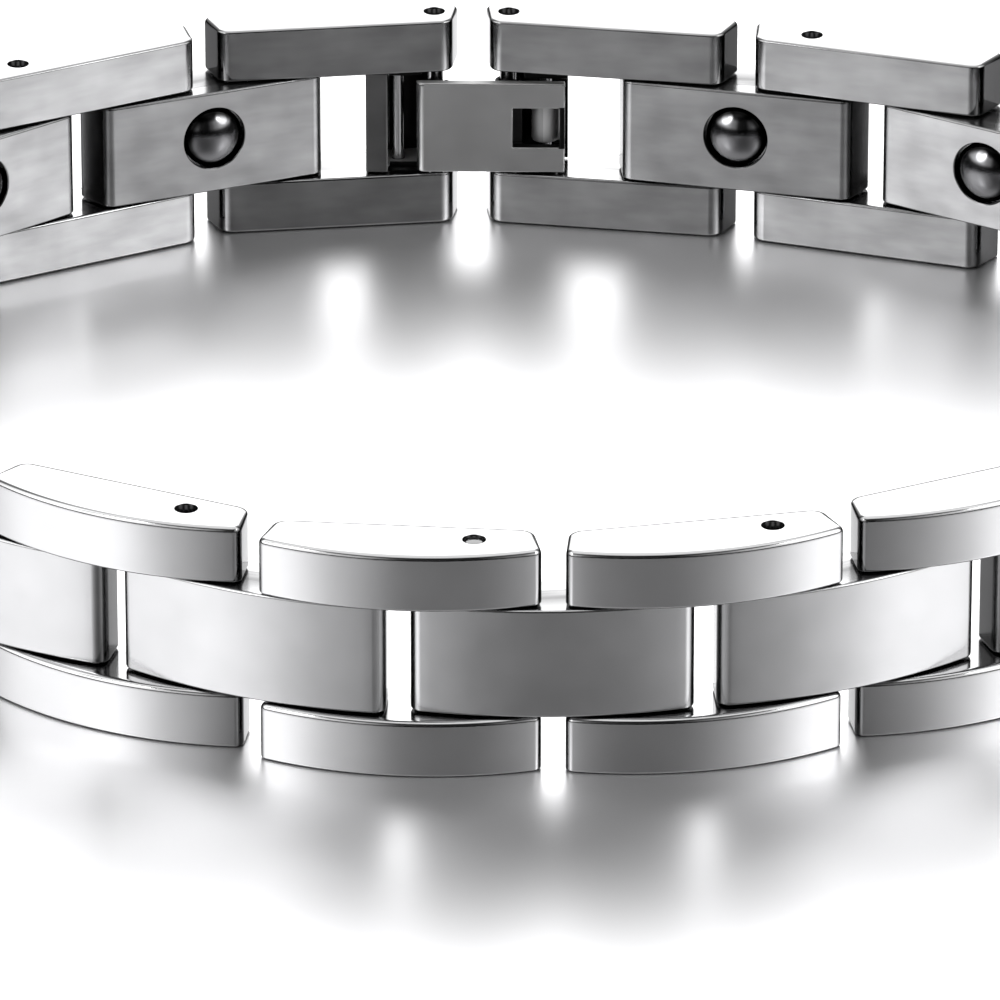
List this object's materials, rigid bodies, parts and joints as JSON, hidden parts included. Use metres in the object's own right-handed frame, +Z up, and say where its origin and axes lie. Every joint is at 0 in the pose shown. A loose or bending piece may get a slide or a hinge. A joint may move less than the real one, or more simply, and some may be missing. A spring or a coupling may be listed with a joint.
{
  "type": "link bracelet",
  "caption": "Closed steel link bracelet of three brick-laid rows of swollen plates on upright pins, with black inner magnets and a hinged fold-over clasp.",
  "frame": {"origin": "middle of the loop's bounding box, on the plane of the lower edges that it stands on", "axes": "+Z up across the band, from the lower to the upper edge; +Y from the front of the loop to the clasp at the back; +X to the right seen from the front"},
  "size_m": [0.0792, 0.0666, 0.011],
  "materials": {
    "outer_steel": "polished, slightly soft",
    "middle_steel": "satin",
    "leaf_steel": "satin",
    "cover_steel": "satin",
    "bar_steel": "polished",
    "magnet_black": "glossy black"
  },
  "bodies": {
    "band": {"outer_link_01": "outer_steel", "outer_link_02": "outer_steel", "outer_link_03": "outer_steel", "outer_link_04": "outer_steel", "outer_link_05": "outer_steel", "outer_link_06": "outer_steel", "outer_link_07": "outer_steel", "outer_link_08": "outer_steel", "outer_link_09": "outer_steel", "outer_link_10": "outer_steel", "outer_link_11": "outer_steel", "outer_link_12": "outer_steel", "outer_link_13": "outer_steel", "outer_link_14": "outer_steel", "outer_link_15": "outer_steel", "outer_link_16": "outer_steel", "middle_link_01": "middle_steel", "middle_link_02": "middle_steel", "middle_link_03": "middle_steel", "middle_link_04": "middle_steel", "middle_link_05": "middle_steel", "middle_link_06": "middle_steel", "middle_link_07": "middle_steel", "middle_link_08": "middle_steel", "middle_link_09": "middle_steel", "middle_link_10": "middle_steel", "middle_link_11": "middle_steel", "middle_link_12": "middle_steel", "middle_link_13": "middle_steel", "middle_link_14": "middle_steel", "middle_link_15": "middle_steel", "magnet_01": "magnet_black", "magnet_02": "magnet_black", "magnet_03": "magnet_black", "magnet_04": "magnet_black", "magnet_05": "magnet_black", "magnet_06": "magnet_black", "magnet_07": "magnet_black", "magnet_08": "magnet_black", "magnet_09": "magnet_black", "magnet_10": "magnet_black", "magnet_11": "magnet_black", "magnet_12": "magnet_black", "magnet_13": "magnet_black", "magnet_14": "magnet_black", "magnet_15": "magnet_black", "clasp_leaf": "leaf_steel"},
    "cover": {"clasp_cover": "cover_steel", "clasp_snap_bar": "bar_steel", "clasp_hinge_pin": "bar_steel"}
  },
  "joints": [
    {"name": "clasp_hinge", "type": "hinge", "parent": "band", "child": "cover", "pos_m": [0.00201, 0.03128, 0.0055], "axis": [0, 0, -1], "range_deg": [0, 80]}
  ]
}
